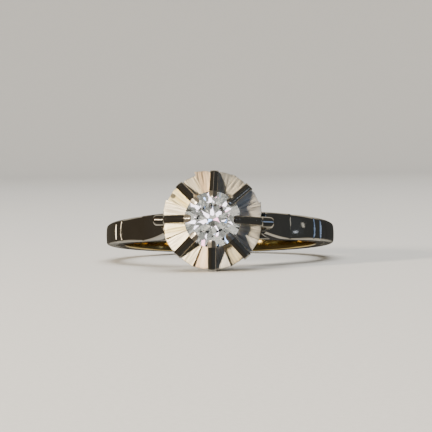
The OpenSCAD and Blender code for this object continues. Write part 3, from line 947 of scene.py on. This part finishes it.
def make_room():
    """The room round the lights. A dim band at the height of the ring, brown on the left and cool grey on the
    right, blue-grey dusk in front with a grey strip in it, and two pale cards behind the ring: one low, with
    a gap, and one high."""
    room = bpy.data.worlds.new("dark_room")
    room.use_nodes = True
    toward = add_node(room, "ShaderNodeTexCoord").outputs["Generated"]
    x, y, z = add_node(room, "ShaderNodeSeparateXYZ", {"Vector": toward}).outputs
    to_right = add_node(room, "ShaderNodeMapRange",
                        {"Value": x, "From Min": -1, "From Max": 1}).outputs["Result"]
    band = add_node(room, "ShaderNodeMix",
                    {SHARE: to_right, FIRST: linear("4a443b"), SECOND: linear("3f4245")},
                    data_type="RGBA").outputs[MIXED]
    to_back = add_node(room, "ShaderNodeMapRange",
                       {"Value": y, "From Min": -0.9, "From Max": -0.4}).outputs["Result"]
    walls = add_node(room, "ShaderNodeMix", {SHARE: to_back, FIRST: linear("151d25"), SECOND: band},
                     data_type="RGBA").outputs[MIXED]
    # the low card, with a gap where the claws' flanks would mirror it to the viewer
    below = add_node(room, "ShaderNodeMapRange",
                     {"Value": z, "From Min": -0.26, "From Max": -0.34}).outputs["Result"]
    behind = add_node(room, "ShaderNodeMapRange",
                      {"Value": y, "From Min": 0.05, "From Max": 0.3}).outputs["Result"]
    off_middle = add_node(room, "ShaderNodeMath", {0: x, 1: 0.015}, operation="SUBTRACT").outputs["Value"]
    from_middle = add_node(room, "ShaderNodeMath", {0: off_middle}, operation="ABSOLUTE").outputs["Value"]
    beside = add_node(room, "ShaderNodeMapRange",
                      {"Value": from_middle, "From Min": 0.045, "From Max": 0.065}).outputs["Result"]
    low = add_node(room, "ShaderNodeMath", {0: below, 1: behind}, operation="MULTIPLY").outputs["Value"]
    low_card = add_node(room, "ShaderNodeMath", {0: low, 1: beside}, operation="MULTIPLY").outputs["Value"]
    # the high card
    above = add_node(room, "ShaderNodeMapRange",
                     {"Value": z, "From Min": 0.28, "From Max": 0.42}).outputs["Result"]
    beyond = add_node(room, "ShaderNodeMapRange",
                      {"Value": y, "From Min": 0.35, "From Max": 0.5}).outputs["Result"]
    high_card = add_node(room, "ShaderNodeMath", {0: above, 1: beyond}, operation="MULTIPLY").outputs["Value"]
    cards = add_node(room, "ShaderNodeMath", {0: low_card, 1: high_card}, operation="ADD").outputs["Value"]
    # the grey strip in front, a little under the ring's height
    ahead = add_node(room, "ShaderNodeMapRange",
                     {"Value": y, "From Min": -0.66, "From Max": -0.8}).outputs["Result"]
    strip_foot = add_node(room, "ShaderNodeMapRange",
                          {"Value": z, "From Min": -0.3, "From Max": -0.16}).outputs["Result"]
    strip_top = add_node(room, "ShaderNodeMapRange",
                         {"Value": z, "From Min": 0.06, "From Max": -0.06, "To Max": 0.22}).outputs["Result"]
    strip = add_node(room, "ShaderNodeMath", {0: strip_foot, 1: strip_top},
                     operation="MULTIPLY").outputs["Value"]
    lit = add_node(room, "ShaderNodeMath", {0: strip, 1: ahead, 2: cards},
                   operation="MULTIPLY_ADD").outputs["Value"]
    glow = add_node(room, "ShaderNodeMix", {SHARE: lit, FIRST: walls, SECOND: linear("d2cdc2")},
                    data_type="RGBA")
    fill_sockets(room, room.node_tree.nodes["Background"], {"Color": glow.outputs[MIXED]})
    bpy.context.scene.world = room


def make_light():
    """The room, and the softboxes round the ring."""
    make_room()
    # the hoop and the arms are so polished that the key would burn out in them: they mirror a dimmer copy of
    # it, in the same place
    polished = ("hoop_lining_and_back", "shoulders_and_bridge", "arm_and_post_left", "arm_and_post_right")
    dimmed = [bpy.data.objects[name] for name in polished]
    key = add_softbox("key", -46.5, 11, 0.28, 0.03, 0.045, 2.6, "ffeed6", "metal stone card")
    link_light(key, dimmed, "EXCLUDE")
    key_glint = add_softbox("key_glint", -46.5, 11, 0.28, 0.05, 0.06, 0.06, "fff0d8", "metal")
    link_light(key_glint, dimmed, "INCLUDE")
    for softbox in SOFTBOXES:
        add_softbox(*softbox)


def picture_axes(look):
    """Right and up in a picture taken along look, with the finger's axis upright in it."""
    right = look.cross(ALONG_FINGER).normalized()
    return right, right.cross(look)


def make_camera():
    """The view onto the head: slightly from the right and from below the head's own axis."""
    distance = 160
    below, right_of, roll = math.radians(4.7), math.radians(2.2), math.radians(0.54)
    # the middle of the finger hole lands 4 pixels right of and 19.3 below the middle of a 432-pixel picture
    picture_px, focal_px = 432, 1768.7
    hole_right_px, hole_below_px = 4, 19.3
    direction = Vector((math.sin(right_of) * math.cos(below), -math.sin(below),
                        math.cos(right_of) * math.cos(below)))
    data = bpy.data.cameras.new("camera")
    data.sensor_width = 36
    data.lens = focal_px / picture_px * data.sensor_width
    data.clip_start = 0.01
    data.clip_end = 10
    camera = bpy.data.objects.new("camera", data)
    camera.location = RING @ (direction * distance)
    right, up = picture_axes(-(AXES @ direction))
    pixel = distance / focal_px * MM
    target = HOLE_MIDDLE - right * hole_right_px * pixel + up * hole_below_px * pixel
    look = (target - camera.location).normalized()
    right, up = picture_axes(look)
    tilted_up = up * math.cos(roll) + right * math.sin(roll)
    tilted_right = right * math.cos(roll) - up * math.sin(roll)
    camera.rotation_euler = Matrix((tilted_right, tilted_up, -look)).transposed().to_euler()
    bpy.context.scene.collection.objects.link(camera)
    bpy.context.scene.camera = camera


make_shank()
make_shoulders()
make_head()
make_stone()
make_stage()
make_light()
make_camera()
